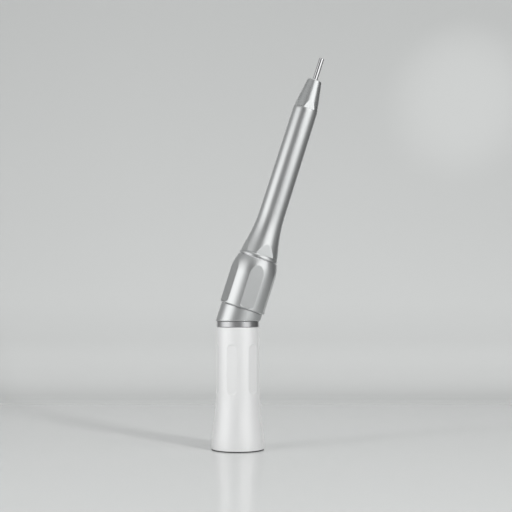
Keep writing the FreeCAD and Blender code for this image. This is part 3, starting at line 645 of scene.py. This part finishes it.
# Tool shank: plain ground steel rod, held in the collet and polished, with a narrow chamfer. The
# mesh closes on a hair-thin bore along its axis, too fine to be seen.
shank_radius = 1.175 * MM
shank_rear = 83.1 * MM
shank_tip = 127.6 * MM
shank_chamfer = 0.15 * MM
hair_bore = 0.01 * MM
shank_outline = [
    (hair_bore, shank_rear), (shank_radius - shank_chamfer, shank_rear),
    (shank_radius, shank_rear + shank_chamfer), (shank_radius, shank_tip - shank_chamfer),
    (shank_radius - shank_chamfer, shank_tip), (hair_bore, shank_tip)]
shank = turned_mesh("polished_shank", shank_outline, 96)
shank.data.set_sharp_from_angle(angle=math.radians(30))
shank.data.materials.append(polished_steel("polished_shank", True, (0.50, 0.50, 0.505), 0.05))
place_mesh(shank, True)
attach(shank, "tool")
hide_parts("tool_shank")


# Floor and backdrop: one pale sheet that runs back flat and sweeps up behind the instrument. It is
# glossy around the grip, which shows in it, and matt in its fold. Its colour holds painted shade:
# darker further back on the floor, in the fold, far up the wall and to the right. It is seen only
# from its front side.
def sheet_finish():
    """Pale satin sheet with shade painted in by its ramps, and clear when seen from behind."""
    material, shader, start = new_finish("backdrop_sheet", Metallic=0.0, IOR=1.45)
    place = piece_place(start, False)
    cloud = start.add("ShaderNodeTexNoise", {"Vector": place, "Scale": 1.5, "Detail": 1.0})
    depth = place.add("ShaderNodeSeparateXYZ", {0: place}, out="Y")
    height = depth.output("Z")
    sideways = depth.output("X")
    dulled = depth.add("ShaderNodeMapRange", {
        "Value": depth, "From Min": 0.2, "From Max": 0.27, "To Min": 0.10, "To Max": 0.75},
        interpolation_type="SMOOTHSTEP")
    along = depth.add("ShaderNodeMapRange", {"Value": depth, "From Min": -0.3, "From Max": 0.30})
    # Painted shade by depth: the floor darker further back, and a dark band painted in the fold.
    painted_shade_by_depth = along.add("ShaderNodeValToRGB", {0: along}, stops=(
        (0.0, 0.625), (0.50, 0.596), (0.74, 0.566), (0.85, 0.560), (0.862, 0.567), (0.88, 0.588),
        (0.90, 0.591), (0.925, 0.587), (0.937, 0.566), (0.95, 0.53), (0.956, 0.504), (0.968, 0.513),
        (0.985, 0.530), (1.0, 0.54)))
    up = height.add("ShaderNodeMapRange", {"Value": height, "From Max": 0.30})
    # Painted shade up the wall: darker far up.
    painted_shade_up_wall = up.add("ShaderNodeValToRGB", {0: up}, stops=(
        (0.0, 0.94), (0.02, 0.915), (0.06, 0.91), (0.13, 0.96), (0.22, 0.98), (0.43, 0.895),
        (0.67, 0.82), (0.94, 0.75)))
    # Painted shade towards the right.
    painted_shade_to_right = sideways.add("ShaderNodeMapRange", {"Value": sideways, "From Min": -0.08,
                                                "From Max": 0.20, "To Min": 1.0, "To Max": 0.925})
    tone = (cloud * 0.02 + 0.86) * painted_shade_by_depth * painted_shade_up_wall * painted_shade_to_right
    colour = start.add("ShaderNodeCombineColor", {0: tone * 0.985, 1: tone, 2: tone * 0.993})
    feed(shader, Base_Color=colour, Roughness=cloud * 0.03 + dulled)
    back = start.add("ShaderNodeNewGeometry", out="Backfacing")
    clear = start.add("ShaderNodeBsdfTransparent")
    front = Wire(start.tree, shader.outputs[0])
    mixed = start.add("ShaderNodeMixShader", {0: back, 1: front, 2: clear})
    output = start.tree.nodes["Material Output"]
    start.tree.links.new(mixed.socket, output.inputs["Surface"])
    return material


sheet_half = 0.27
sheet_near = -1.0
sweep_start = 0.262
sweep_radius = 0.04
wall_top = 1.2
sheet_line = [(sheet_near, 0.0), (-0.6, 0.0), (0.0, 0.0)]
for k in range(17):
    turn_angle = math.radians(90 * k / 16)
    sheet_line.append((sweep_start + sweep_radius * math.sin(turn_angle),
                       sweep_radius * (1 - math.cos(turn_angle))))
sheet_line.append((sweep_start + sweep_radius, wall_top))
sheet_mesh = bpy.data.meshes.new("backdrop")
sheet_points = [(side * sheet_half, y, z) for y, z in sheet_line for side in (-1, 1)]
sheet_faces = [(2 * k, 2 * k + 1, 2 * k + 3, 2 * k + 2) for k in range(len(sheet_line) - 1)]
sheet_mesh.from_pydata(sheet_points, [], sheet_faces)
sheet_mesh.polygons.foreach_set("use_smooth", [True] * len(sheet_faces))
backdrop = bpy.data.objects.new("backdrop", sheet_mesh)
bpy.context.scene.collection.objects.link(backdrop)
backdrop.data.materials.append(sheet_finish())


# Light: a soft box on each side of the camera and a large one overhead. Two lamps light the sheet
# alone, and a small one puts a soft patch on it. The room is paler on the left, with a pale patch at
# the left and low at the right, and a darker one high in front.
def soft_box(name, azimuth, elevation, distance, width, height, power):
    """Area lamp that faces the middle of the instrument."""
    lamp = bpy.data.lights.new(name, "AREA")
    lamp.shape = "RECTANGLE"
    lamp.size = width
    lamp.size_y = height
    lamp.energy = power
    across = math.radians(azimuth)
    up = math.radians(elevation)
    aim = Vector((0.02, 0, 0.11))
    away = Vector((math.sin(across) * math.cos(up), -math.cos(across) * math.cos(up), math.sin(up)))
    holder = bpy.data.objects.new(name, lamp)
    holder.location = aim + away * distance
    holder.rotation_euler = (-away).to_track_quat("-Z", "Y").to_euler()
    bpy.context.scene.collection.objects.link(holder)
    return holder


soft_box("left_box", -65, 21, 0.7, 0.66, 0.36, 0.64)
soft_box("right_box", 42, 19, 0.8, 0.88, 0.44, 1.75)
soft_box("top_box", 38, 70, 1.1, 1.0, 1.0, 3.8)
sheet_only = bpy.data.collections.new("sheet_only")
sheet_only.objects.link(backdrop)
for holder in (soft_box("right_floor_lamp", 39, 24, 1.2, 0.14, 0.2, 11.0),
               soft_box("left_floor_lamp", -57, 26, 1.2, 0.16, 0.2, 3.3)):
    holder.light_linking.receiver_collection = sheet_only
patch_lamp = bpy.data.lights.new("patch_lamp", "SPOT")
patch_lamp.energy = 1.3
patch_lamp.spot_size = math.radians(18)
patch_lamp.spot_blend = 1.0
patch_holder = bpy.data.objects.new("patch_lamp", patch_lamp)
patch_holder.location = (0.24, -0.05, 0.36)
patch_aim = Vector((0.161, 0.302, 0.219)) - patch_holder.location
patch_holder.rotation_euler = patch_aim.to_track_quat("-Z", "Y").to_euler()
bpy.context.scene.collection.objects.link(patch_holder)
world = bpy.data.worlds.new("surround")
world.use_nodes = True
bpy.context.scene.world = world
room = Wire(world.node_tree)
facing = room.add("ShaderNodeTexCoord", out="Generated")
sideways = room.add("ShaderNodeSeparateXYZ", {0: facing})
behind = sideways.output("Y").math("MAXIMUM", 0.0)
flattened = room.add("ShaderNodeMapping", {"Vector": facing, "Scale": (1, 1, 2)})


def room_patch(direction, reach, amount):
    """Part of the room that is brighter or darker, strongest in one direction."""
    off_centre = flattened.add("ShaderNodeVectorMath", {0: flattened, 1: direction},
                               operation="DISTANCE", out=1)
    return off_centre.add("ShaderNodeMapRange", {
        "Value": off_centre, "From Min": 0.1, "From Max": reach, "To Min": amount, "To Max": 0.0},
        interpolation_type="SMOOTHSTEP")


level = (0.45 - sideways * 0.14 - behind * 0.27 + room_patch((-0.90, -0.43, 0.10), 0.9, 1.1)
         + room_patch((0.73, -0.66, -0.20), 0.7, 1.15)
         - room_patch((-0.22, -0.78, 0.60), 0.7, 0.36)).math("MAXIMUM", 0.05)
tone = room.add("ShaderNodeCombineColor", {0: level * 0.99, 1: level, 2: level})
world.node_tree.links.new(tone.socket, world.node_tree.nodes["Background"].inputs["Color"])

# Camera: a short telephoto view, a little above the floor, tipped up slightly.
camera_data = bpy.data.cameras.new("camera")
camera_data.sensor_width = 36.0
camera_data.lens = 78.1
camera_data.clip_start = 0.01
camera = bpy.data.objects.new("camera", camera_data)
camera.location = (0.0083, -0.511, 0.0673)
camera.rotation_euler = (math.radians(90 + 2.37), 0, 0)
bpy.context.scene.collection.objects.link(camera)
bpy.context.scene.camera = camera
bpy.context.scene.view_settings.view_transform = "Standard"
